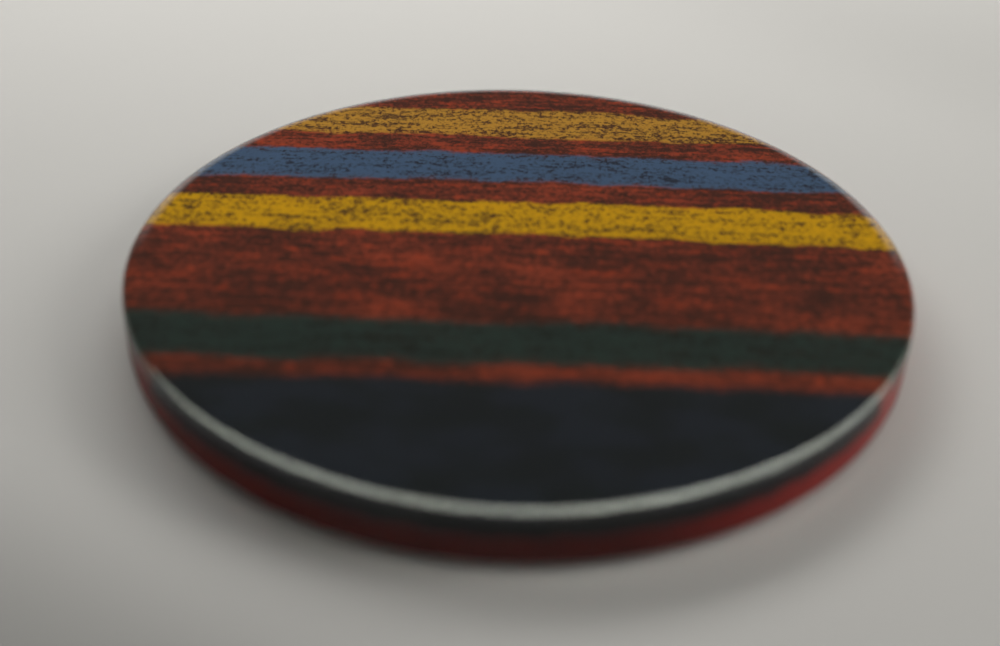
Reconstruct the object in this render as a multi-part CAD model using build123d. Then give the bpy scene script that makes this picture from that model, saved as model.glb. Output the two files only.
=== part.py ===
from build123d import *
import math
import os

# Round button-style pocket mirror, 76 mm.
# A drawn tinplate front shell is covered by a printed paper sheet and a clear
# polyester film. Both wrap over the shell's rounded edge, down the side wall,
# round the bottom curl and back up over the shell's raw lip, where a pressed
# tinplate ring clamps their tails. The ring also frames and holds a silvered
# glass disc, and a greyboard disc fills the space behind the glass.
#
# Frame: the mirror lies on its back, printed face up. +Z is up and is the axis
# of the disc. The origin is at the centre of the resting plane, which is the
# flat of the wrapped rim. The print's upright direction is +Y. Millimetres.

# ---- overall ----
OUTER_RADIUS = 76.0 / 2    # over the film on the side wall
TOTAL_HEIGHT = 7.0         # resting plane to the top of the crowned face
FACE_CROWN = 0.30          # how far the face rises from its rim to its centre
TOP_EDGE_RADIUS = 0.90     # outside radius between face and side wall
CURL_RADIUS = 1.90         # outside radius between side wall and resting flat

# ---- layers, from the outside surface inwards ----
FILM_THICKNESS = 0.10
LAYER_GAP = 0.04           # air between the film and the paper
PAPER_THICKNESS = 0.12
PLEAT_ROOM = 0.12          # air between the paper and the shell, for the pleats
SHELL_THICKNESS = 0.30

# ---- rolled lip ----
LIP_RADIUS = 35.35         # radius at which the flat ends and the lip turns
FILM_TAIL_RADIUS = 36.40   # how far the tucked film reaches back outwards
PAPER_TAIL_RADIUS = 36.20

# ---- back ring ----
RING_THICKNESS = 0.30
RING_OPENING_RADIUS = 32.60   # the visible mirror's radius
COLLAR_RADIUS = 37.20         # outside of the upstanding collar
COLLAR_TOP = 4.40
RING_BEND_RADIUS = 0.90       # outside bend between flange and collar
BEAD_INNER = 33.30
BEAD_OUTER = 34.70
BEAD_DEPTH = 0.30             # the stiffening bead stands down from the flange
BEAD_INSET = 0.12             # the bead is narrower by this per side on top

# ---- mirror and filler board ----
GLASS_RADIUS = 34.70
GLASS_THICKNESS = 1.80
GLASS_CHAMFER = 0.25
COATING_RADIUS = 34.40
COATING_THICKNESS = 0.06
BOARD_RADIUS = 36.40
BOARD_TOP_CLEARANCE = 0.04
FIT_GAP = 0.02                # air between stacked flat pieces

# ---- crowned face and its rounded edge ----
FACE_RADIUS = OUTER_RADIUS - TOP_EDGE_RADIUS
CROWN_RADIUS = (FACE_RADIUS ** 2 + FACE_CROWN ** 2) / (2 * FACE_CROWN)
CROWN_CENTRE_Z = TOTAL_HEIGHT - CROWN_RADIUS
EDGE_CENTRE_DISTANCE = CROWN_RADIUS - TOP_EDGE_RADIUS  # between the two arc centres
EDGE_CENTRE_Z = CROWN_CENTRE_Z + math.sqrt(EDGE_CENTRE_DISTANCE ** 2 - FACE_RADIUS ** 2)
TANGENT_ANGLE = math.asin(FACE_RADIUS / EDGE_CENTRE_DISTANCE)

# ---- depth of each layer below the outside surface ----
PAPER_DEPTH = FILM_THICKNESS + LAYER_GAP
SHELL_DEPTH = PAPER_DEPTH + PAPER_THICKNESS + PLEAT_ROOM
SHELL_INSIDE = SHELL_DEPTH + SHELL_THICKNESS
TURN_RADIUS = (SHELL_DEPTH + SHELL_INSIDE) / 2   # outside of the turn round the lip

# ---- heights in the stack, from the tucked tails up ----
RING_BOTTOM = 2 * TURN_RADIUS + FIT_GAP
GLASS_BOTTOM = RING_BOTTOM + RING_THICKNESS + FIT_GAP
COATING_BOTTOM = GLASS_BOTTOM + GLASS_THICKNESS + FIT_GAP
BOARD_BOTTOM = COATING_BOTTOM + COATING_THICKNESS + FIT_GAP


# Section points are (radius, z).

def polar(centre_x, centre_z, radius, angle):
    """Point on a circle, the angle measured from +Z towards +X."""
    return (centre_x + radius * math.sin(angle), centre_z + radius * math.cos(angle))


def spin(edges):
    """Solid turned from a closed section about Z."""
    return revolve(Plane.XZ * Face(Wire(edges)), Axis.Z, 360)


def face_centre(depth):
    return (0.0, CROWN_CENTRE_Z + CROWN_RADIUS - depth)


def wall_edges(depth):
    """Crowned face, top edge, side wall, bottom curl and resting flat, axis to lip."""
    crown = CROWN_RADIUS - depth
    tangent = polar(0, CROWN_CENTRE_Z, crown, TANGENT_ANGLE)
    face_mid = polar(0, CROWN_CENTRE_Z, crown, TANGENT_ANGLE / 2)
    edge_mid = polar(FACE_RADIUS, EDGE_CENTRE_Z, TOP_EDGE_RADIUS - depth,
                     (TANGENT_ANGLE + math.pi / 2) / 2)
    wall_top = (OUTER_RADIUS - depth, EDGE_CENTRE_Z)
    wall_bottom = (OUTER_RADIUS - depth, CURL_RADIUS)
    curl_centre_x = OUTER_RADIUS - CURL_RADIUS
    curl_mid = polar(curl_centre_x, CURL_RADIUS, CURL_RADIUS - depth, math.radians(135))
    curl_end = (curl_centre_x, depth)
    return [
        ThreePointArc(face_centre(depth), face_mid, tangent),
        ThreePointArc(tangent, edge_mid, wall_top),
        Line(wall_top, wall_bottom),
        ThreePointArc(wall_bottom, curl_mid, curl_end),
        Line(curl_end, (LIP_RADIUS, depth)),
    ]


def tail_end(depth, tail_radius):
    return (tail_radius, 2 * TURN_RADIUS - depth)


def turn_edges(depth, tail_radius):
    """The turn round the lip, and the tail tucked back outwards."""
    turn_mid = (LIP_RADIUS - (TURN_RADIUS - depth), TURN_RADIUS)
    turn_end = (LIP_RADIUS, 2 * TURN_RADIUS - depth)
    return [
        ThreePointArc((LIP_RADIUS, depth), turn_mid, turn_end),
        Line(turn_end, tail_end(depth, tail_radius)),
    ]


def wrapped_layer(depth, thickness, tail_radius):
    """A sheet over the whole cup, round the lip and out to its tail."""
    inside = depth + thickness
    return spin(
        wall_edges(depth)
        + turn_edges(depth, tail_radius)
        + [Line(tail_end(depth, tail_radius), tail_end(inside, tail_radius))]
        + turn_edges(inside, tail_radius)
        + wall_edges(inside)
        + [Line(face_centre(inside), face_centre(depth))]
    )


def make_front_shell():
    """Shallow drawn cup with a rounded lip."""
    lip_end = ThreePointArc(
        (LIP_RADIUS, SHELL_DEPTH),
        (LIP_RADIUS - SHELL_THICKNESS / 2, TURN_RADIUS),
        (LIP_RADIUS, SHELL_INSIDE),
    )
    return spin(
        wall_edges(SHELL_DEPTH)
        + [lip_end]
        + wall_edges(SHELL_INSIDE)
        + [Line(face_centre(SHELL_INSIDE), face_centre(SHELL_DEPTH))]
    )


def ring_side(bend_radius, bead_inset):
    """One side of the ring's sheet, from the opening to the top of the collar."""
    bend_x = COLLAR_RADIUS - RING_BEND_RADIUS
    bend_z = RING_BOTTOM + RING_BEND_RADIUS
    flange_z = bend_z - bend_radius
    bead_start = (BEAD_INNER + bead_inset, flange_z)
    bead_low = ((BEAD_INNER + BEAD_OUTER) / 2, flange_z - BEAD_DEPTH)
    bead_end = (BEAD_OUTER - bead_inset, flange_z)
    bend_start = (bend_x, flange_z)
    bend_mid = polar(bend_x, bend_z, bend_radius, math.radians(135))
    bend_end = (bend_x + bend_radius, bend_z)
    return [
        Line((RING_OPENING_RADIUS, flange_z), bead_start),
        ThreePointArc(bead_start, bead_low, bead_end),
        Line(bead_end, bend_start),
        ThreePointArc(bend_start, bend_mid, bend_end),
        Line(bend_end, (bend_x + bend_radius, COLLAR_TOP)),
    ]


def make_back_ring():
    """Flange on the tucked tails, stiffening bead and upstanding collar."""
    collar_rim = Line(
        (COLLAR_RADIUS, COLLAR_TOP), (COLLAR_RADIUS - RING_THICKNESS, COLLAR_TOP)
    )
    opening_rim = Line(
        (RING_OPENING_RADIUS, RING_BOTTOM + RING_THICKNESS),
        (RING_OPENING_RADIUS, RING_BOTTOM),
    )
    return spin(
        ring_side(RING_BEND_RADIUS, 0)
        + [collar_rim]
        + ring_side(RING_BEND_RADIUS - RING_THICKNESS, BEAD_INSET)
        + [opening_rim]
    )


def disc(radius, thickness, bottom):
    return Pos(0, 0, bottom) * Cylinder(
        radius, thickness, align=(Align.CENTER, Align.CENTER, Align.MIN)
    )


def make_mirror_glass():
    """Glass disc over the ring, chamfered on both rims."""
    glass = disc(GLASS_RADIUS, GLASS_THICKNESS, GLASS_BOTTOM)
    return chamfer(glass.edges().filter_by(GeomType.CIRCLE), GLASS_CHAMFER)


def make_filler_board():
    """Greyboard disc from the coating up to the underside of the shell."""
    shell_underside = CROWN_CENTRE_Z + math.sqrt(
        (CROWN_RADIUS - SHELL_INSIDE) ** 2 - BOARD_RADIUS ** 2
    )
    thickness = shell_underside - BOARD_TOP_CLEARANCE - BOARD_BOTTOM
    return disc(BOARD_RADIUS, thickness, BOARD_BOTTOM)


parts = {
    "clear_film": wrapped_layer(0.0, FILM_THICKNESS, FILM_TAIL_RADIUS),
    "printed_sheet": wrapped_layer(PAPER_DEPTH, PAPER_THICKNESS, PAPER_TAIL_RADIUS),
    "front_shell": make_front_shell(),
    "back_ring": make_back_ring(),
    "mirror_glass": make_mirror_glass(),
    # Silvering and its protective paint, on the hidden side of the glass.
    "mirror_coating": disc(COATING_RADIUS, COATING_THICKNESS, COATING_BOTTOM),
    "filler_board": make_filler_board(),
}

os.makedirs("parts", exist_ok=True)
for name, part in parts.items():
    part.label = name
    export_step(part, f"parts/{name}.step")
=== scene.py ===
"""A round tin mirror, lying mirror down on a pale table with its crowned printed face up.

The axis is z, the table is z = 0 and the camera looks from -y. A printed paper and a clear
film wrap the face, curl under the rim and turn up round the lip of the tin shell, over
a pressed ring. Profiles and sizes are in mm; objects, lights and camera are in metres.
"""
import math

import bpy
import numpy as np
from mathutils import Matrix, Vector


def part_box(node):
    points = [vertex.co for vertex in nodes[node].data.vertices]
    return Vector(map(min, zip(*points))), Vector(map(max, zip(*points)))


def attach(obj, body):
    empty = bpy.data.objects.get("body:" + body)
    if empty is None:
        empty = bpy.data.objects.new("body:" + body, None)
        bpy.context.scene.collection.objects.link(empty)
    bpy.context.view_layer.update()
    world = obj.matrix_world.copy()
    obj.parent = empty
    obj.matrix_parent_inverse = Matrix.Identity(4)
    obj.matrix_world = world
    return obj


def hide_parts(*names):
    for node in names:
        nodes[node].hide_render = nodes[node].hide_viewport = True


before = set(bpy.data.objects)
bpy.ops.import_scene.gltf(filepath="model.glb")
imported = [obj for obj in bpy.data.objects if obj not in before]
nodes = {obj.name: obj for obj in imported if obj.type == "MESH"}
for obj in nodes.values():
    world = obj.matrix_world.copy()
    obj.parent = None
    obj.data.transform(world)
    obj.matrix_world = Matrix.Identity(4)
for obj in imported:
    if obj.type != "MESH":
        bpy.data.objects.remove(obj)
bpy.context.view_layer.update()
MM = 0.001

# ------------------------------------------------------------------ wrap sizes
film_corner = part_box("clear_film")[1]
RADIUS = film_corner.x / MM
HEIGHT = film_corner.z / MM
CROWN_RISE = 0.30             # of the face above the edge rounding
EDGE_RADIUS = 0.90            # rounding from face to wall
CURL_RADIUS = 1.90            # rounding from wall to underside
LIP_R = 35.35                 # where the wrap turns round the shell's lip
TURN_RADIUS = 0.53            # outside radius of that turn
FILM_DEPTHS = (0.0, 0.10)     # outer and inner surface, below the outside of the wrap
PAPER_DEPTHS = (0.14, 0.26)
FILM_TAIL_R, PAPER_TAIL_R = 36.40, 36.20
WRAP_SEGMENTS, RING_SEGMENTS = 768, 384

FLAT_R = RADIUS - EDGE_RADIUS
CURL_R = RADIUS - CURL_RADIUS
CROWN_RADIUS = (FLAT_R ** 2 + CROWN_RISE ** 2) / (2 * CROWN_RISE)
CROWN_Z = HEIGHT - CROWN_RADIUS
EDGE_Z = CROWN_Z + math.sqrt((CROWN_RADIUS - EDGE_RADIUS) ** 2 - FLAT_R ** 2)
CROWN_ANGLE = math.asin(FLAT_R / (CROWN_RADIUS - EDGE_RADIUS))
CROWN_STATIONS = (0.0, 0.12, 0.3, 0.5, 0.7, 0.85, 0.95, 1.0)  # shares of the crown angle

# zone: 0 on the face, then these at the foot of the wall, on the underside and at the tail
WALL_ZONE, UNDER_ZONE, TAIL_ZONE = 0.35, 1.0, 0.25


# ------------------------------------------------------------------ wrap profile
def wrap_profile(depth, tail_r):
    """Rows (r, z, outward normal r, normal z, zone) of the wrap at a depth, axis to tail."""
    rows = []

    def arc(centre_r, centre_z, radius, angles, zones, steps):
        """Steps along an arc, after its first point; angles run from +z towards +r."""
        for i in range(1, steps + 1):
            angle = angles[0] + (angles[1] - angles[0]) * i / steps
            sin, cos = math.sin(angle), math.cos(angle)
            zone = zones[0] + (zones[1] - zones[0]) * i / steps
            rows.append((centre_r + radius * sin, centre_z + radius * cos, sin, cos, zone))

    crown = CROWN_RADIUS - depth
    for share in CROWN_STATIONS:
        sin, cos = math.sin(CROWN_ANGLE * share), math.cos(CROWN_ANGLE * share)
        rows.append((crown * sin, CROWN_Z + crown * cos, sin, cos, 0.0))
    arc(FLAT_R, EDGE_Z, EDGE_RADIUS - depth, (CROWN_ANGLE, math.pi / 2), (0.0, 0.0), 9)
    for i in range(1, 6):
        share = i / 5
        z = EDGE_Z + (CURL_RADIUS - EDGE_Z) * share
        rows.append((RADIUS - depth, z, 1.0, 0.0, WALL_ZONE * share * share))
    arc(CURL_R, CURL_RADIUS, CURL_RADIUS - depth, (math.pi / 2, math.pi),
        (WALL_ZONE, UNDER_ZONE), 11)
    for share in (0.5, 1.0):
        rows.append((CURL_R + (LIP_R - CURL_R) * share, depth, 0.0, -1.0, UNDER_ZONE))
    arc(LIP_R, TURN_RADIUS, TURN_RADIUS - depth, (math.pi, 2 * math.pi),
        (UNDER_ZONE, TAIL_ZONE), 8)
    for share in (0.5, 1.0):
        r = LIP_R + (tail_r - LIP_R) * share
        rows.append((r, 2 * TURN_RADIUS - depth, 0.0, 1.0, TAIL_ZONE))
    return np.array(rows)


def arc_length(profile):
    steps = np.hypot(np.diff(profile[:, 0]), np.diff(profile[:, 1]))
    return np.concatenate([[0.0], np.cumsum(steps)])


def turn_angles(count):
    return np.arange(count) * 2 * math.pi / count


# ------------------------------------------------------------------ looseness of the wrap
rng = np.random.default_rng(11)
PLEATS = 118
PLEAT_LIMIT = 0.098           # deepest a pleat may go, mm
pleat_angle = (np.arange(PLEATS) + rng.uniform(-0.36, 0.36, PLEATS)) * 2 * math.pi / PLEATS
pleat_depth = rng.uniform(0.025, 0.085, PLEATS) * np.where(rng.random(PLEATS) < 0.25, 0.4, 1.0)
pleat_width = rng.uniform(0.30, 0.62, PLEATS)      # mm
pleat_start = rng.uniform(0.30, 0.78, PLEATS)      # zone where it begins
pleat_lean = rng.uniform(-0.012, 0.012, PLEATS)    # radians over the full zone
wave_count = np.array([3, 5, 9, 14, 23, 37, 52])   # waves per turn
wave_depth = np.array([0.010, 0.010, 0.007, 0.006, 0.005, 0.004, 0.003])
wave_phase = rng.uniform(0, 2 * math.pi, len(wave_count))
# dents in the wall: angle, depth in mm, width in mm
KINKS = [
    (156.0, 0.055, 1.6), (118.0, 0.045, 1.1), (204.0, 0.030, 2.2),
    (331.0, 0.028, 1.4), (12.0, 0.024, 1.8),
]


def angle_gap(theta, angle):
    return (theta - angle + math.pi) % (2 * math.pi) - math.pi


def pleats(theta, zone):
    """Inward movement in mm, theta across columns and zone down rows."""
    moved = np.zeros((len(zone), len(theta)))
    zone = np.clip(zone, 0, 1)
    for k in range(PLEATS):
        middle = pleat_angle[k] + (pleat_lean[k] * zone)[:, None]
        width = pleat_width[k] * (0.75 + 0.5 * zone[:, None])    # widens down the curl
        across = np.exp(-((angle_gap(theta[None, :], middle) * RADIUS / width) ** 2))
        # 1.001 keeps the division safe for a pleat that starts at the very end
        rise = np.clip((zone - pleat_start[k]) / (1.001 - pleat_start[k]), 0, 1)
        moved += (pleat_depth[k] * rise * rise * (3 - 2 * rise))[:, None] * across
    return np.minimum(moved, PLEAT_LIMIT)


def ripple(theta, share):
    """Slight out-of-round in mm, always inward; share is its strength on each row."""
    waves = sum(a * np.sin(n * theta + p) for n, a, p in zip(wave_count, wave_depth, wave_phase))
    waves = waves - waves.max()
    kinks = sum(
        -depth * np.exp(-((angle_gap(theta, math.radians(angle)) * RADIUS / width) ** 2))
        for angle, depth, width in KINKS
    )
    return -(waves[None, :] * share[:, None] + kinks[None, :] * share[:, None] ** 1.5)


def looseness(theta, profile):
    """Inward movement of a layer: pleats on the curl, slight ripple on the edge and wall."""
    r, z, zone = profile[:, 0], profile[:, 1], profile[:, 4]
    # the ripple fades in over the last of the face, and out again round the curl
    wall = np.clip((r - (FLAT_R - 0.6)) / 1.5, 0, 1)
    wall = wall * np.clip((1.0 - zone) / (1.0 - WALL_ZONE), 0, 1)
    lower = np.clip(0.15 + (HEIGHT - EDGE_RADIUS - z) / 2.5, 0.15, 1.0)
    return pleats(theta, zone) + ripple(theta, wall * lower)


# ------------------------------------------------------------------ meshes
def add_body(name, verts_mm, faces, sharp_degrees, sheet=None):
    """A smooth-shaded object; sheet gives each vertex its place on the flat printed sheet."""
    mesh = bpy.data.meshes.new(name)
    mesh.from_pydata([tuple(c * MM for c in vert) for vert in verts_mm], [], faces)
    if sheet is not None:
        attribute = mesh.attributes.new("sheet", "FLOAT_VECTOR", "POINT")
        attribute.data.foreach_set("vector", np.array(sheet, np.float32).ravel())
    mesh.polygons.foreach_set("use_smooth", [True] * len(mesh.polygons))
    mesh.update()
    mesh.set_sharp_from_angle(angle=math.radians(sharp_degrees))
    obj = bpy.data.objects.new(name, mesh)
    bpy.context.scene.collection.objects.link(obj)
    return obj


def wrap_layer(name, depths, tail_r):
    """One layer of the wrap, closed between its outer and inner surface.
    The sheet attribute holds x and y of the unrolled sheet, then 1 outside and 0 inside."""
    segments = WRAP_SEGMENTS
    theta = turn_angles(segments)
    cos, sin = np.cos(theta), np.sin(theta)
    outer, inner = (wrap_profile(depth, tail_r) for depth in depths)
    surfaces = (
        (outer, arc_length(outer), 1.0),
        (inner[::-1], arc_length(inner)[::-1], 0.0),
    )
    verts, sheet, rings = [], [], []
    for profile, lengths, side in surfaces:
        inward = looseness(theta, profile)
        for (r, z, normal_r, normal_z, _), length, move in zip(profile, lengths, inward):
            first = len(verts)
            if r < 1e-9:
                rings.append([first])
                verts.append((0.0, 0.0, z))
                sheet.append((0.0, 0.0, side))
                continue
            rings.append(list(range(first, first + segments)))
            r = r - move * normal_r
            verts.extend(zip(r * cos, r * sin, z - move * normal_z))
            sheet.extend(zip(length * cos, length * sin, np.full(segments, side)))
    faces = []
    for a, b in zip(rings, rings[1:]):
        for j in range(segments):
            k = (j + 1) % segments
            if len(a) == 1:
                faces.append((a[0], b[j], b[k]))
            elif len(b) == 1:
                faces.append((a[j], b[0], a[k]))
            else:
                faces.append((a[j], b[j], b[k], a[k]))
    obj = add_body(name, verts, faces, sharp_degrees=50, sheet=sheet)
    obj["outer_faces"] = segments * (len(outer) - 1)
    return obj


def closed_ring(name, outline, segments):
    """A closed (r, z) outline, anticlockwise and clear of the axis, turned round it."""
    theta = turn_angles(segments)
    verts, faces = [], []
    for i, (r, z) in enumerate(outline):
        verts.extend(zip(r * np.cos(theta), r * np.sin(theta), np.full(segments, z)))
        a, b = i * segments, ((i + 1) % len(outline)) * segments
        for j in range(segments):
            k = (j + 1) % segments
            faces.append((a + j, a + k, b + k, b + j))
    return add_body(name, verts, faces, sharp_degrees=40)


# ------------------------------------------------------------------ shader helpers
WHITE = (1, 1, 1, 1)


def srgb(*levels):
    """Linear colour from red, green and blue levels of 0 to 255."""
    shares = [level / 255 for level in levels]
    return (*(c / 12.92 if c <= 0.04045 else ((c + 0.055) / 1.055) ** 2.4 for c in shares), 1.0)


class Net:
    """The node tree of a material or world, with small helpers."""

    def __init__(self, owner, output="ShaderNodeOutputMaterial"):
        owner.use_nodes = True
        self.owner = owner
        self.tree = owner.node_tree
        self.tree.nodes.clear()
        self.output = self.node(output)

    def node(self, kind, **props):
        node = self.tree.nodes.new(kind)
        for name, value in props.items():
            setattr(node, name, value)
        return node

    def put(self, socket, value):
        """Link a value or socket into a socket, or set it to a constant."""
        if isinstance(value, Value):
            value = value.socket
        if isinstance(value, bpy.types.NodeSocket):
            self.tree.links.new(value, socket)
        else:
            socket.default_value = value

    def math(self, op, *terms, clamp=False):
        node = self.node("ShaderNodeMath", operation=op, use_clamp=clamp)
        for socket, term in zip(node.inputs, terms):
            self.put(socket, term)
        return Value(self, node.outputs[0])

    def split(self, vector, count=3):
        node = self.node("ShaderNodeSeparateXYZ")
        self.put(node.inputs[0], vector)
        return [Value(self, node.outputs[i]) for i in range(count)]

    def sheet(self):
        """x and y in mm on the flat sheet, and 1 on its outer side."""
        node = self.node("ShaderNodeAttribute", attribute_name="sheet")
        return self.split(node.outputs["Vector"])

    def object_mm(self, count=3):
        """The first coordinates of the object's own space, in mm."""
        node = self.node("ShaderNodeTexCoord")
        return [v * 1000.0 for v in self.split(node.outputs["Object"], count)]

    def texture(self, kind, x, y, z, **props):
        place = self.node("ShaderNodeCombineXYZ")
        for socket, value in zip(place.inputs, (x, y, z)):
            self.put(socket, value)
        node = self.node(kind, **props)
        self.put(node.inputs["Vector"], place.outputs[0])
        node.inputs["Scale"].default_value = 1.0
        return node

    def noise(self, x, y, z=0.0, detail=2.0, rough=0.5, distortion=0.0):
        """Noise with features per mm set by the factors on x, y, z. A constant z picks
        a pattern of its own."""
        node = self.texture("ShaderNodeTexNoise", x, y, z)
        node.inputs["Detail"].default_value = detail
        node.inputs["Roughness"].default_value = rough
        node.inputs["Distortion"].default_value = distortion
        return Value(self, node.outputs[0])

    def cell_edges(self, x, y):
        """Distance to the nearest edge between Voronoi cells."""
        node = self.texture("ShaderNodeTexVoronoi", x, y, 0.0, feature="DISTANCE_TO_EDGE")
        return Value(self, node.outputs["Distance"])

    def step(self, value, off, on):
        """Smooth step, 0 at off and 1 at on; off may be above on."""
        node = self.node("ShaderNodeMapRange", interpolation_type="SMOOTHSTEP")
        self.put(node.inputs[0], value)
        limits = (off, on, 0.0, 1.0) if off <= on else (on, off, 1.0, 0.0)
        for i, limit in enumerate(limits):
            node.inputs[i + 1].default_value = limit
        return Value(self, node.outputs[0])

    def mix(self, share, first, second):
        """Blend of two colours, share of the second."""
        node = self.node("ShaderNodeMix", data_type="RGBA", clamp_factor=True)
        for i, value in ((0, share), (6, first), (7, second)):
            self.put(node.inputs[i], value)
        return node.outputs[2]

    def scale_colour(self, colour, factor):
        node = self.node("ShaderNodeVectorMath", operation="SCALE")
        self.put(node.inputs[0], colour)
        self.put(node.inputs["Scale"], factor)
        return node.outputs[0]

    def shader(self, kind, **inputs):
        node = self.node(kind)
        for name, value in inputs.items():
            self.put(node.inputs[name.replace("_", " ")], value)
        return node.outputs[0]

    def bump(self, height, strength, distance):
        return self.shader(
            "ShaderNodeBump", Height=height, Strength=strength, Distance=distance)

    def glossy(self, **inputs):
        shine = self.shader("ShaderNodeBsdfGlossy", Color=WHITE, **inputs)
        shine.node.distribution = "GGX"
        return shine

    def clear(self, colour):
        return self.shader("ShaderNodeBsdfTransparent", Color=colour)

    def fresnel(self, ior):
        return Value(self, self.shader("ShaderNodeFresnel", IOR=ior))

    def mix_shaders(self, share, first, second):
        """Blend of two shaders, share of the second."""
        node = self.node("ShaderNodeMixShader")
        for i, value in enumerate((share, first, second)):
            self.put(node.inputs[i], value)
        return node.outputs[0]

    def finish(self, shader):
        self.put(self.output.inputs["Surface"], shader)
        return self.owner


class Value:
    """A number that varies over the surface."""

    def __init__(self, net, socket):
        self.net, self.socket = net, socket

    def __add__(self, other): return self.net.math("ADD", self, other)
    __radd__ = __add__
    def __sub__(self, other): return self.net.math("SUBTRACT", self, other)
    def __rsub__(self, other): return self.net.math("SUBTRACT", other, self)
    def __mul__(self, other): return self.net.math("MULTIPLY", self, other)
    __rmul__ = __mul__
    def abs(self): return self.net.math("ABSOLUTE", self)
    def sqrt(self): return self.net.math("SQRT", self)
    def min(self, other): return self.net.math("MINIMUM", self, other)
    def max(self, other): return self.net.math("MAXIMUM", self, other)
    def clamp(self): return self.net.math("ADD", self, 0.0, clamp=True)


def new_net(name):
    return Net(bpy.data.materials.new(name))


def from_axis(x, y):
    return (x * x + y * y).sqrt()


def rounded_box(x, y, centre, size, corner):
    """Signed distance in mm to a rounded rectangle."""
    beyond_x = (x - centre[0]).abs() - (size[0] / 2 - corner)
    beyond_y = (y - centre[1]).abs() - (size[1] / 2 - corner)
    outside = from_axis(beyond_x.max(0.0), beyond_y.max(0.0))
    return outside + beyond_x.max(beyond_y).min(0.0) - corner


# ------------------------------------------------------------------ printed sheet
STRIPE_TOP, STRIPE_PITCH = 28.0, 11.0         # y of stripe 0, and spacing towards -y
STRIPE_SIZE, STRIPE_CORNER = (130.0, 5.5), 0.5
# stripe number, crayon pressure, underlay colour, wax colour
STRIPES = [
    (0.0, 0.56, (80, 54, 42), (186, 142, 60)),
    (1.0, 0.66, (42, 46, 56), (78, 98, 124)),
    (2.0, 0.62, (80, 56, 38), (204, 160, 30)),
    (4.0, 0.60, (36, 38, 37), (50, 62, 57)),
]


def wax(net, pressure, grain, soft):
    """Cover, 0 to 1, that crayon of this pressure leaves on this paper grain."""
    return net.step(grain + (pressure - 0.5) * 0.38, off=0.5 - soft, on=0.5 + soft)


def wax_ground(net, x, y, tooth, stroke):
    """Red rubbed over dark brown, the same all over."""
    coarse = net.noise(x * 1.25, y * 1.25, z=61.5, detail=3.0, rough=0.7)
    broad = net.noise(x * 0.085, y * 0.12, z=91.3, detail=3.0, rough=0.55)
    pressure = 0.42 + (stroke - 0.5) * 1.4 + (broad - 0.5) * 0.8
    body = wax(net, pressure, tooth * 0.75 + coarse * 0.25, soft=0.14)
    brown_cloud = net.noise(x * 0.5, y * 0.5, z=12.0, detail=3.0)
    brown = net.mix(brown_cloud, srgb(54, 38, 34), srgb(82, 50, 42))
    red_cloud = net.step(coarse * 0.6 + broad * 0.6, off=0.50, on=0.72)
    red = net.mix(red_cloud, srgb(118, 58, 45), srgb(156, 74, 53))
    colour = net.mix(body * 0.92, brown, red)
    # a light rub of hotter red on a grain of its own
    hot_grain = net.noise(x, y, z=33.0, detail=4.0, rough=0.7) * 0.6 + tooth * 0.4
    hot = wax(net, 0.22 + (stroke - 0.5) * 1.4, hot_grain, soft=0.09)
    return net.mix(hot * 0.7, colour, srgb(172, 72, 44))


def wax_stripes(net, colour, x, y, tooth, stroke):
    """Plain stripes right across the sheet, each of wax over its own darker underlay."""
    for number, pressure, under, over in STRIPES:
        centre = (0.0, STRIPE_TOP - STRIPE_PITCH * number)
        dist = rounded_box(x, y, centre, STRIPE_SIZE, STRIPE_CORNER)
        colour = net.mix(net.step(dist, off=0.5, on=-0.5) * 0.9, colour, srgb(*under))
        cover = wax(net, pressure + (stroke - 0.5) * 1.3, tooth, soft=0.09)
        cover = cover * net.step(dist, off=1.0, on=0.2)
        colour = net.mix(cover, colour, srgb(*over))
    return colour


def sheet_border(net, colour, x, y, loose_y):
    """Navy along the -y side, and oxblood down the wall all round."""
    navy = net.step(loose_y, off=-21.0, on=-22.4)
    navy_cloud = net.noise(x * 0.12, y * 0.2, z=200.0, detail=3.0)
    navy_cloud = net.step(navy_cloud, off=0.38, on=0.62)
    colour = net.mix(navy, colour, net.mix(navy_cloud, srgb(40, 42, 44), srgb(45, 48, 54)))

    # distances from the sheet's centre, each with its own slight wander
    reach = from_axis(x, y)
    rim_wander = (net.noise(x * 0.2, y * 0.2, z=230.0, detail=3.0) - 0.5) * 1.0
    rim = net.step(reach + rim_wander, off=38.4, on=39.4)
    navy_wander = (net.noise(x * 0.3, y * 0.3, z=233.0) - 0.5) * 1.2
    navy_rim = navy * net.step(reach + navy_wander, off=40.9, on=39.5)
    ox_cloud = net.noise(x * 0.35, y * 0.35, z=238.0, detail=3.0, rough=0.6)
    oxblood = net.mix(ox_cloud, srgb(56, 14, 14), srgb(84, 21, 18))
    # painted light: the oxblood turns brighter red towards +x, where light falls on the wall,
    # and stays darker towards the camera and -x
    oxblood = net.mix(net.step(x, off=8.0, on=30.0), oxblood, srgb(136, 28, 24))
    colour = net.mix(rim * (1.0 - navy_rim), colour, oxblood)
    return net.mix(navy_rim * net.step(reach, off=38.2, on=39.0), colour, srgb(12, 13, 17))


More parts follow.
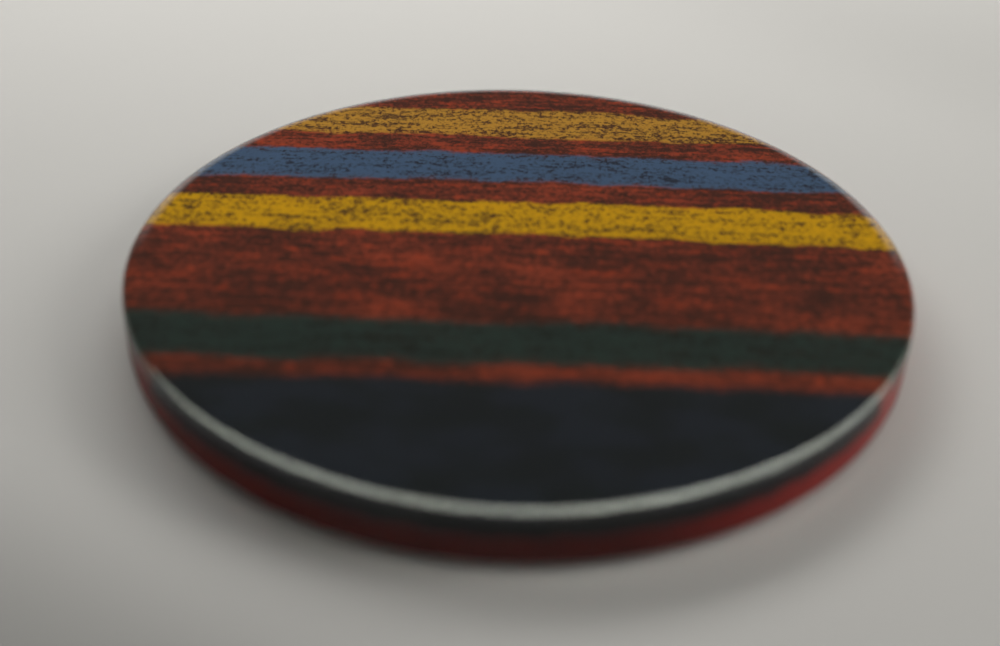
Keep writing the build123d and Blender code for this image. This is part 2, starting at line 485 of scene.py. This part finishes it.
def print_material():
    net = new_net("print_ink_on_coated_paper")
    x, y, side = net.sheet()

    def wander(slow, quick):
        """The broad and the fine wander of painted edges, in mm."""
        broad = net.noise(x * 0.14, y * 0.14, z=slow)
        fine = net.noise(x * 1.1, y * 1.1, z=quick, detail=3.0, rough=0.6)
        return (broad - 0.5) * 2.4, (fine - 0.5) * 0.9

    broad, fine = wander(slow=3.1, quick=8.4)
    loose_x = x + broad + fine
    broad, fine = wander(slow=17.7, quick=23.9)
    loose_y = y + broad + fine

    # wax catches where the paper's tooth is high; strokes run along x
    tooth = net.noise(x * 2.1, y * 2.1, z=5.5, detail=4.0, rough=0.72)
    stroke = net.noise(x * 0.16, y * 1.25, z=40.2, detail=3.0, rough=0.62, distortion=0.5)
    colour = wax_ground(net, x, y, tooth, stroke)
    colour = wax_stripes(net, colour, loose_x, loose_y, tooth, stroke)
    colour = sheet_border(net, colour, x, y, loose_y)

    # ink isn't quite even, and the sheet's unprinted side is white
    ink = net.noise(x * 3.4, y * 3.4, z=250.0, detail=3.0, rough=0.7)
    colour = net.scale_colour(colour, 0.88 + ink * 0.24)
    fibre = net.noise(x * 1.3, y * 1.3, z=260.0, detail=4.0, rough=0.7)
    back = net.mix(fibre, srgb(226, 224, 216), srgb(240, 238, 232))
    printed = net.step(side, off=0.4, on=0.6)
    return net.finish(net.shader(
        "ShaderNodeBsdfPrincipled",
        Base_Color=net.mix(printed, back, colour),
        Roughness=0.62 + ink * 0.16 + (1.0 - printed) * 0.1,
        Specular_IOR_Level=0.04,
        Normal=net.bump(fibre + ink * 0.4, strength=0.10, distance=0.00004),
    ))


# ------------------------------------------------------------------ other materials
CLEAR_IOR = 1.52              # of film and glass alike


def film_material():
    """Clear film: what lies under it shows unbent, and its surface mirrors by angle."""
    net = new_net("film_clear_polyester")
    x, y, _ = net.sheet()
    smear = net.noise(x * 0.09, y * 0.13, z=2.0, rough=0.6, distortion=0.6)
    # long hairline scratches, roughly along y
    wander = net.noise(x * 0.05, y * 0.05, z=4.0, detail=1.0) * 8.0
    hair = net.cell_edges(x * 0.5 + wander, y * 0.028)
    scratch = net.step(hair, off=0.008, on=0.0) * net.step(smear, off=0.56, on=0.62)
    peel = net.noise(x * 0.55, y * 0.55, z=8.0, detail=1.0)
    shine = net.glossy(
        Roughness=0.02 + net.step(smear, off=0.50, on=0.72) * 0.03 + scratch * 0.15,
        Normal=net.bump(peel * 0.6 + scratch * 0.10, strength=0.12, distance=0.00002),
    )
    reach = from_axis(x, y)
    # painted highlight: a pale diffuse band where the film bends, on the +y side only, stands in
    # for the reflection of the bright room behind the far edge
    painted_highlight_share = net.step(reach, off=36.2, on=37.2) * net.step(reach, off=38.4, on=37.8)
    painted_highlight_share = painted_highlight_share * (0.7 + smear * 0.6) * net.step(y, off=-4.0, on=10.0)
    painted_highlight = net.shader("ShaderNodeBsdfDiffuse", Color=(0.86, 0.85, 0.84, 1))
    under = net.mix_shaders(painted_highlight_share * 0.30, net.clear((0.965, 0.97, 0.965, 1)), painted_highlight)
    # painted shade: the wall's reflection is cut by half, and by up to three quarters towards
    # -x, standing in for the shaded table it mirrors
    wall = net.step(reach, off=38.2, on=39.0)
    reflection_shade = wall * (0.5 + net.step(x, off=-10.0, on=-24.0) * 0.25)
    mirrored = (net.fresnel(CLEAR_IOR) + scratch * 0.02) * (1.0 - reflection_shade)
    face = net.mix_shaders(mirrored.clamp(), under, shine)
    path = net.node("ShaderNodeLightPath")
    shade = net.clear((0.93, 0.935, 0.93, 1))
    return net.finish(net.mix_shaders(path.outputs["Is Shadow Ray"], face, shade))


def film_under_material():
    """The film's hidden inner surface, which only passes light on."""
    net = new_net("film_clear_underside")
    return net.finish(net.clear((0.995, 0.995, 0.995, 1)))


def tin_material(name, tint, smoothest, roughest, rolled=1.0):
    """Bright tin; rolled is the strength of its rolling grain along x."""
    net = new_net(name)
    x, y, z = net.object_mm()
    grain = net.noise(x * 0.5, y * 14.0, z * 2.0, detail=3.0, rough=0.6)
    cloud = net.noise(x * 0.18, y * 0.18, z * 0.2 + 4.0, detail=3.0, rough=0.55)
    rub = net.noise(from_axis(x, y) * 9.0, 3.0, z=1.0, detail=3.0, rough=0.6)
    nick = net.noise(x * 1.6, y * 1.6, z + 9.0, detail=4.0, rough=0.75)
    nick = net.step(nick, off=0.66, on=0.72)
    darker = (*(c * 0.86 for c in tint[:3]), 1.0)
    colour = net.mix(net.step(cloud, off=0.35, on=0.65), tint, darker)
    brushed = (grain * 0.5 * rolled + rub * 0.5) * (roughest - smoothest)
    return net.finish(net.shader(
        "ShaderNodeBsdfPrincipled",
        Base_Color=net.mix(nick * 0.5, colour, srgb(120, 118, 112)),
        Metallic=1.0,
        Roughness=smoothest + brushed + cloud * 0.05 + nick * 0.15,
        Normal=net.bump(grain * 0.6 * rolled + rub * 0.6, strength=0.12, distance=0.00002),
    ))


def board_material():
    net = new_net("board_grey_recycled")
    x, y, z = net.object_mm()
    ply = net.noise(x * 0.3, y * 0.3, z * 9.0, detail=3.0, rough=0.6)
    fibre = net.noise(x * 2.6, y * 0.9, z * 5.0, detail=5.0, rough=0.75, distortion=0.6)
    fleck = net.noise(x * 1.9, y * 1.9, z * 1.9 + 40.0, detail=4.0, rough=0.8)
    fleck = net.step(fleck, off=0.62, on=0.70)
    colour = net.mix(fibre, srgb(128, 122, 112), srgb(168, 160, 148))
    colour = net.mix(ply * 0.35, colour, srgb(112, 108, 102))
    return net.finish(net.shader(
        "ShaderNodeBsdfPrincipled",
        Base_Color=net.mix(fleck * 0.6, colour, srgb(78, 76, 80)),
        Roughness=0.86 + fibre * 0.1,
        Specular_IOR_Level=0.25,
        Normal=net.bump(fibre + fleck * 0.4, strength=0.5, distance=0.0001),
    ))


def silver_material():
    """Silver on the side that faces down through the glass, grey paint elsewhere."""
    net = new_net("silver_behind_glass")
    x, y = net.object_mm(count=2)
    geometry = net.node("ShaderNodeNewGeometry")
    down = net.step(net.split(geometry.outputs["Normal"])[2], off=-0.2, on=-0.7)
    cloud = net.noise(x * 0.12, y * 0.12, z=3.0, detail=3.0, rough=0.6)
    # foxing creeps in from the rim
    ragged = net.noise(x * 0.9, y * 0.9, z=2.0, detail=4.0, rough=0.7) * 3.0
    foxing = net.step(from_axis(x, y) + ragged, off=34.9, on=36.2)
    metal = net.mix(cloud * 0.4, srgb(240, 241, 238), srgb(230, 232, 229))
    metal = net.mix(foxing * 0.5, metal, srgb(150, 140, 120))
    brushed = net.noise(x * 0.3, y * 3.0, z=8.0, detail=4.0, rough=0.65)
    coat = net.mix(brushed, srgb(92, 96, 100), srgb(120, 124, 126))
    return net.finish(net.shader(
        "ShaderNodeBsdfPrincipled",
        Base_Color=net.mix(down, coat, metal),
        Metallic=down,
        Roughness=0.6 - down * 0.585 + down * cloud * 0.01,
    ))


def glass_material():
    """Clear float glass that mirrors by angle; its ground edge is frosted and greenish."""
    net = new_net("glass_float_ground_edge")
    x, y, z = net.object_mm()
    geometry = net.node("ShaderNodeNewGeometry")
    normal_z = net.split(geometry.outputs["True Normal"])[2]
    flat = net.step(normal_z.abs(), off=0.80, on=0.95)
    dust = net.noise(x * 2.4, y * 2.4, z=1.0, detail=4.0, rough=0.8)
    dust = net.step(dust, off=0.70, on=0.78)
    smear = net.noise(x * 0.08, y * 0.12, z=4.0, detail=3.0, rough=0.6, distortion=0.8)
    smear = net.step(smear, off=0.48, on=0.70)
    shine = net.glossy(Roughness=0.012 + smear * 0.05 + dust * 0.2)
    # only the outer side of each surface mirrors
    backfacing = Value(net, geometry.outputs["Backfacing"])
    mirrored = net.fresnel(CLEAR_IOR) * (1.0 - backfacing) + dust * 0.05
    face = net.mix_shaders(mirrored.clamp(), net.clear((0.93, 0.965, 0.945, 1)), shine)
    grind = net.noise(x * 6.0, y * 6.0, z * 6.0, detail=3.0, rough=0.7)
    edge = net.shader(
        "ShaderNodeBsdfPrincipled",
        Base_Color=net.mix(grind, srgb(150, 186, 170), srgb(196, 216, 206)),
        Roughness=0.45 + grind * 0.2,
        Normal=net.bump(grind, strength=0.4, distance=0.00005),
    )
    return net.finish(net.mix_shaders(flat, edge, face))


# brightness of the room as a light and in reflections, and of the backdrop in view
ROOM_LIGHT, ROOM_SHINE, BACKDROP = 0.157, 8.6, 0.56
BACKDROP_TINT = (1.0, 0.99, 0.955, 1)


def table_material():
    net = new_net("table_pale")
    x, y = net.object_mm(count=2)
    cloud = net.noise(x * 0.012, y * 0.012, z=1.0, detail=3.0)
    tooth = net.noise(x * 1.7, y * 1.7, z=2.0, detail=3.0, rough=0.6)
    colour = net.mix(cloud, srgb(200, 198, 195), srgb(205, 203, 200))
    # painted shade: the table's colour is darker towards the camera, a little to -x, and
    # slightly darker towards +x +y, standing in for the room's light falling off
    away = from_axis(x, y)
    near = net.step(x * -0.45 - y * 0.9, off=40.0, on=62.0) * 0.38
    far = net.step(x * 0.66 + y * 0.75, off=62.0, on=98.0) * 0.10
    darker = (near + far) * net.step(away, off=150.0, on=70.0)
    surface = net.shader(
        "ShaderNodeBsdfPrincipled",
        Base_Color=net.scale_colour(colour, 1.0 - darker),
        Roughness=0.62 + cloud * 0.1,
        Specular_IOR_Level=0.12,
        Normal=net.bump(tooth, strength=0.05, distance=0.0001),
    )
    # far off, the camera sees the table run into the backdrop without a horizon
    path = net.node("ShaderNodeLightPath")
    hazy = net.step(away, off=150.0, on=520.0) * Value(net, path.outputs["Is Camera Ray"])
    haze = net.shader("ShaderNodeEmission", Color=BACKDROP_TINT, Strength=BACKDROP)
    return net.finish(net.mix_shaders(hazy, surface, haze))


def paint(obj, material):
    obj.data.materials.clear()
    obj.data.materials.append(material)


# ------------------------------------------------------------------ the wrap
film = wrap_layer("film_wrap", FILM_DEPTHS, FILM_TAIL_R)
paint(film, film_material())
film.data.materials.append(film_under_material())
film_slots = np.zeros(len(film.data.polygons), np.int32)
film_slots[film["outer_faces"]:] = 1
film.data.polygons.foreach_set("material_index", film_slots)
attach(film, "root")
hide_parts("clear_film")

paper = wrap_layer("printed_wrap", PAPER_DEPTHS, PAPER_TAIL_R)
paint(paper, print_material())
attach(paper, "root")
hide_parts("printed_sheet")

# ------------------------------------------------------------------ the pressed ring
ring_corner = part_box("back_ring")[1]
RING_Z = 2 * TURN_RADIUS + 0.02               # underside, just clear of the wrap's tail
SHEET = 0.30                                  # thickness of the tin
OPENING_R = 32.60
BEAD_INNER_R, BEAD_OUTER_R, BEAD_DEPTH = 33.30, 34.70, 0.30
BEAD_INSET = 0.12                             # the upper side of the bead is narrower
COLLAR_R, COLLAR_TOP = ring_corner.x / MM, ring_corner.z / MM
BEND_RADIUS = 0.90
CHAMFER = 0.06                                # on the collar's top edge


def ring_arc(centre_r, centre_z, radius, start, end):
    """Nine points of an arc, with angles in degrees from +r towards +z."""
    return [
        (centre_r + radius * math.cos(angle), centre_z + radius * math.sin(angle))
        for angle in np.radians(np.linspace(start, end, 9))
    ]


def bead(inner_r, outer_r, z, steps=14):
    """A half-wave dip from inner_r to outer_r."""
    shares = [i / steps for i in range(steps + 1)]
    return [
        (inner_r + (outer_r - inner_r) * share, z - BEAD_DEPTH * math.sin(math.pi * share))
        for share in shares
    ]


def ring_outline():
    """Rounded inner edge, downward bead and upturned collar, anticlockwise."""
    hem = SHEET / 2
    bend_r, bend_z = COLLAR_R - BEND_RADIUS, RING_Z + BEND_RADIUS
    return [
        *ring_arc(OPENING_R + hem, RING_Z + hem, hem, 90, 270),
        *bead(BEAD_INNER_R, BEAD_OUTER_R, RING_Z),
        (bend_r - 0.6, RING_Z),
        *ring_arc(bend_r, bend_z, BEND_RADIUS, -90, 0),
        (COLLAR_R, COLLAR_TOP - CHAMFER),
        (COLLAR_R - CHAMFER, COLLAR_TOP),
        (COLLAR_R - SHEET + CHAMFER, COLLAR_TOP),
        (COLLAR_R - SHEET, COLLAR_TOP - CHAMFER),
        *ring_arc(bend_r, bend_z, BEND_RADIUS - SHEET, 0, -90),
        *bead(BEAD_INNER_R + BEAD_INSET, BEAD_OUTER_R - BEAD_INSET, RING_Z + SHEET)[::-1],
    ]


ring = closed_ring("ring_pressed", ring_outline(), RING_SEGMENTS)
paint(ring, tin_material(
    "tin_bright_pressed", srgb(214, 213, 208), smoothest=0.16, roughest=0.34, rolled=0.5))
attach(ring, "root")
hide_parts("back_ring")

# ------------------------------------------------------------------ pieces kept as they are
paint(nodes["front_shell"], tin_material(
    "tin_drawn_cup", srgb(206, 204, 196), smoothest=0.22, roughest=0.42))
paint(nodes["mirror_glass"], glass_material())
paint(nodes["mirror_coating"], silver_material())
paint(nodes["filler_board"], board_material())

# ------------------------------------------------------------------ table and room
table_mesh = bpy.data.meshes.new("table")
table_mesh.from_pydata([(-3, -3, 0), (3, -3, 0), (3, 3, 0), (-3, 3, 0)], [], [(0, 1, 2, 3)])
table = bpy.data.objects.new("table", table_mesh)
bpy.context.scene.collection.objects.link(table)
paint(table, table_material())


def build_room():
    """Dim room, brighter overhead and on the camera's side. Reflections see that side as
    a pale band well above the table, and the camera itself sees a pale backdrop."""
    world = bpy.data.worlds.new("room")
    bpy.context.scene.world = world
    net = Net(world, output="ShaderNodeOutputWorld")
    coords = net.node("ShaderNodeTexCoord")
    x, y, z = net.split(coords.outputs["Generated"])      # direction of view

    # diffuse light, stronger towards +x
    near = net.step(y, off=0.55, on=0.05)
    above = net.step(z, off=0.70, on=0.88)
    open_side = near.max(above * 0.6) * net.step(z, off=-0.02, on=0.04)
    light = (0.46 + open_side * 0.62 + x * 0.36) * ROOM_LIGHT

    # reflections: a band on the camera's side that dips lower straight behind it,
    # a weaker window at +x, and a faint glow near the horizon and below
    low = net.step(z, off=0.22, on=0.10)
    window = net.step(x, off=0.80, on=0.92) * net.step(z, off=0.02, on=0.16)
    straight = net.step(x.abs(), off=0.50, on=0.34) * net.step(y, off=-0.45, on=-0.65)
    band = net.step(y - x.abs() * 0.5, off=0.08, on=-0.17)
    band = band * net.step(z + straight * 0.17, off=0.28, on=0.40)
    band = band * net.step(z, off=0.99, on=0.92)
    band = band * (0.8 + net.step(z, off=0.45, on=0.75) * 0.2)
    band = band * (1.0 - net.step(x, off=0.60, on=0.85) * 0.4)
    shine = band.max(window * 0.48) * (0.94 + x * 0.25) * ROOM_SHINE + 0.02 + low * 0.36

    path = net.node("ShaderNodeLightPath")
    camera_ray = Value(net, path.outputs["Is Camera Ray"])
    glossy_ray = Value(net, path.outputs["Is Glossy Ray"])
    level = light + (shine - light) * glossy_ray
    level = level + (BACKDROP - level) * camera_ray
    tint = net.mix(glossy_ray, (0.985, 1.0, 0.985, 1), (0.95, 1.0, 0.87, 1))
    tint = net.mix(camera_ray, tint, BACKDROP_TINT)
    net.finish(net.shader("ShaderNodeBackground", Color=tint, Strength=level))


build_room()


def area_light(name, place, target, size, watts, colour):
    """A rectangular lamp that reflections don't show."""
    data = bpy.data.lights.new(name, "AREA")
    data.shape = "RECTANGLE"
    data.size, data.size_y = size
    data.energy = watts
    data.color = colour
    lamp = bpy.data.objects.new(name, data)
    lamp.location = place
    lamp.rotation_mode = "QUATERNION"
    lamp.rotation_quaternion = (Vector(target) - Vector(place)).to_track_quat("-Z", "Y")
    bpy.context.scene.collection.objects.link(lamp)
    lamp.visible_glossy = False


area_light("key", place=(-0.03, 0.13, 0.16), target=(-0.02, 0.11, 0.0), size=(0.28, 0.10),
           watts=0.34, colour=(1.0, 0.99, 0.97))
area_light("side", place=(0.26, -0.03, 0.18), target=(0.09, -0.03, 0.0), size=(0.14, 0.14),
           watts=0.36, colour=(1.0, 0.985, 0.95))

# ------------------------------------------------------------------ camera
ELEVATION = math.radians(33.32)
DISTANCE = 0.14067                            # from the origin, metres
# turns away from a level aim at the origin: to the left, downwards, anticlockwise
YAW, PITCH, ROLL = math.radians(0.6666472), math.radians(-0.6686932), math.radians(1.95)
SENSOR_WIDTH, FOCAL_LENGTH, APERTURE = 36.0, 50.4, 3.9      # mm
FOCUS_Y = 0.026


def build_camera():
    scene = bpy.context.scene
    data = bpy.data.cameras.new("camera")
    camera = bpy.data.objects.new("camera", data)
    scene.collection.objects.link(camera)
    scene.camera = camera
    data.sensor_width = SENSOR_WIDTH
    data.lens = FOCAL_LENGTH
    data.clip_start, data.clip_end = 0.005, 10.0

    focus = bpy.data.objects.new("focus", None)
    focus.location = (0.0, FOCUS_Y, HEIGHT * MM)
    scene.collection.objects.link(focus)
    data.dof.use_dof = True
    data.dof.focus_object = focus
    data.dof.aperture_fstop = data.lens / APERTURE

    place = Vector((0, -DISTANCE * math.cos(ELEVATION), DISTANCE * math.sin(ELEVATION)))
    forward = (-place).normalized()
    right = Vector((1, 0, 0))
    up = right.cross(forward)
    yaw = Matrix.Rotation(YAW, 3, up)
    forward, right = yaw @ forward, yaw @ right
    pitch = Matrix.Rotation(PITCH, 3, right)
    forward, up = pitch @ forward, pitch @ up
    roll = Matrix.Rotation(ROLL, 3, -forward)
    right, up = roll @ right, roll @ up
    axes = Matrix((right, up, -forward)).transposed()
    camera.matrix_world = Matrix.Translation(place) @ axes.to_4x4()


build_camera()
bpy.context.scene.view_settings.view_transform = "Standard"

bpy.context.view_layer.update()
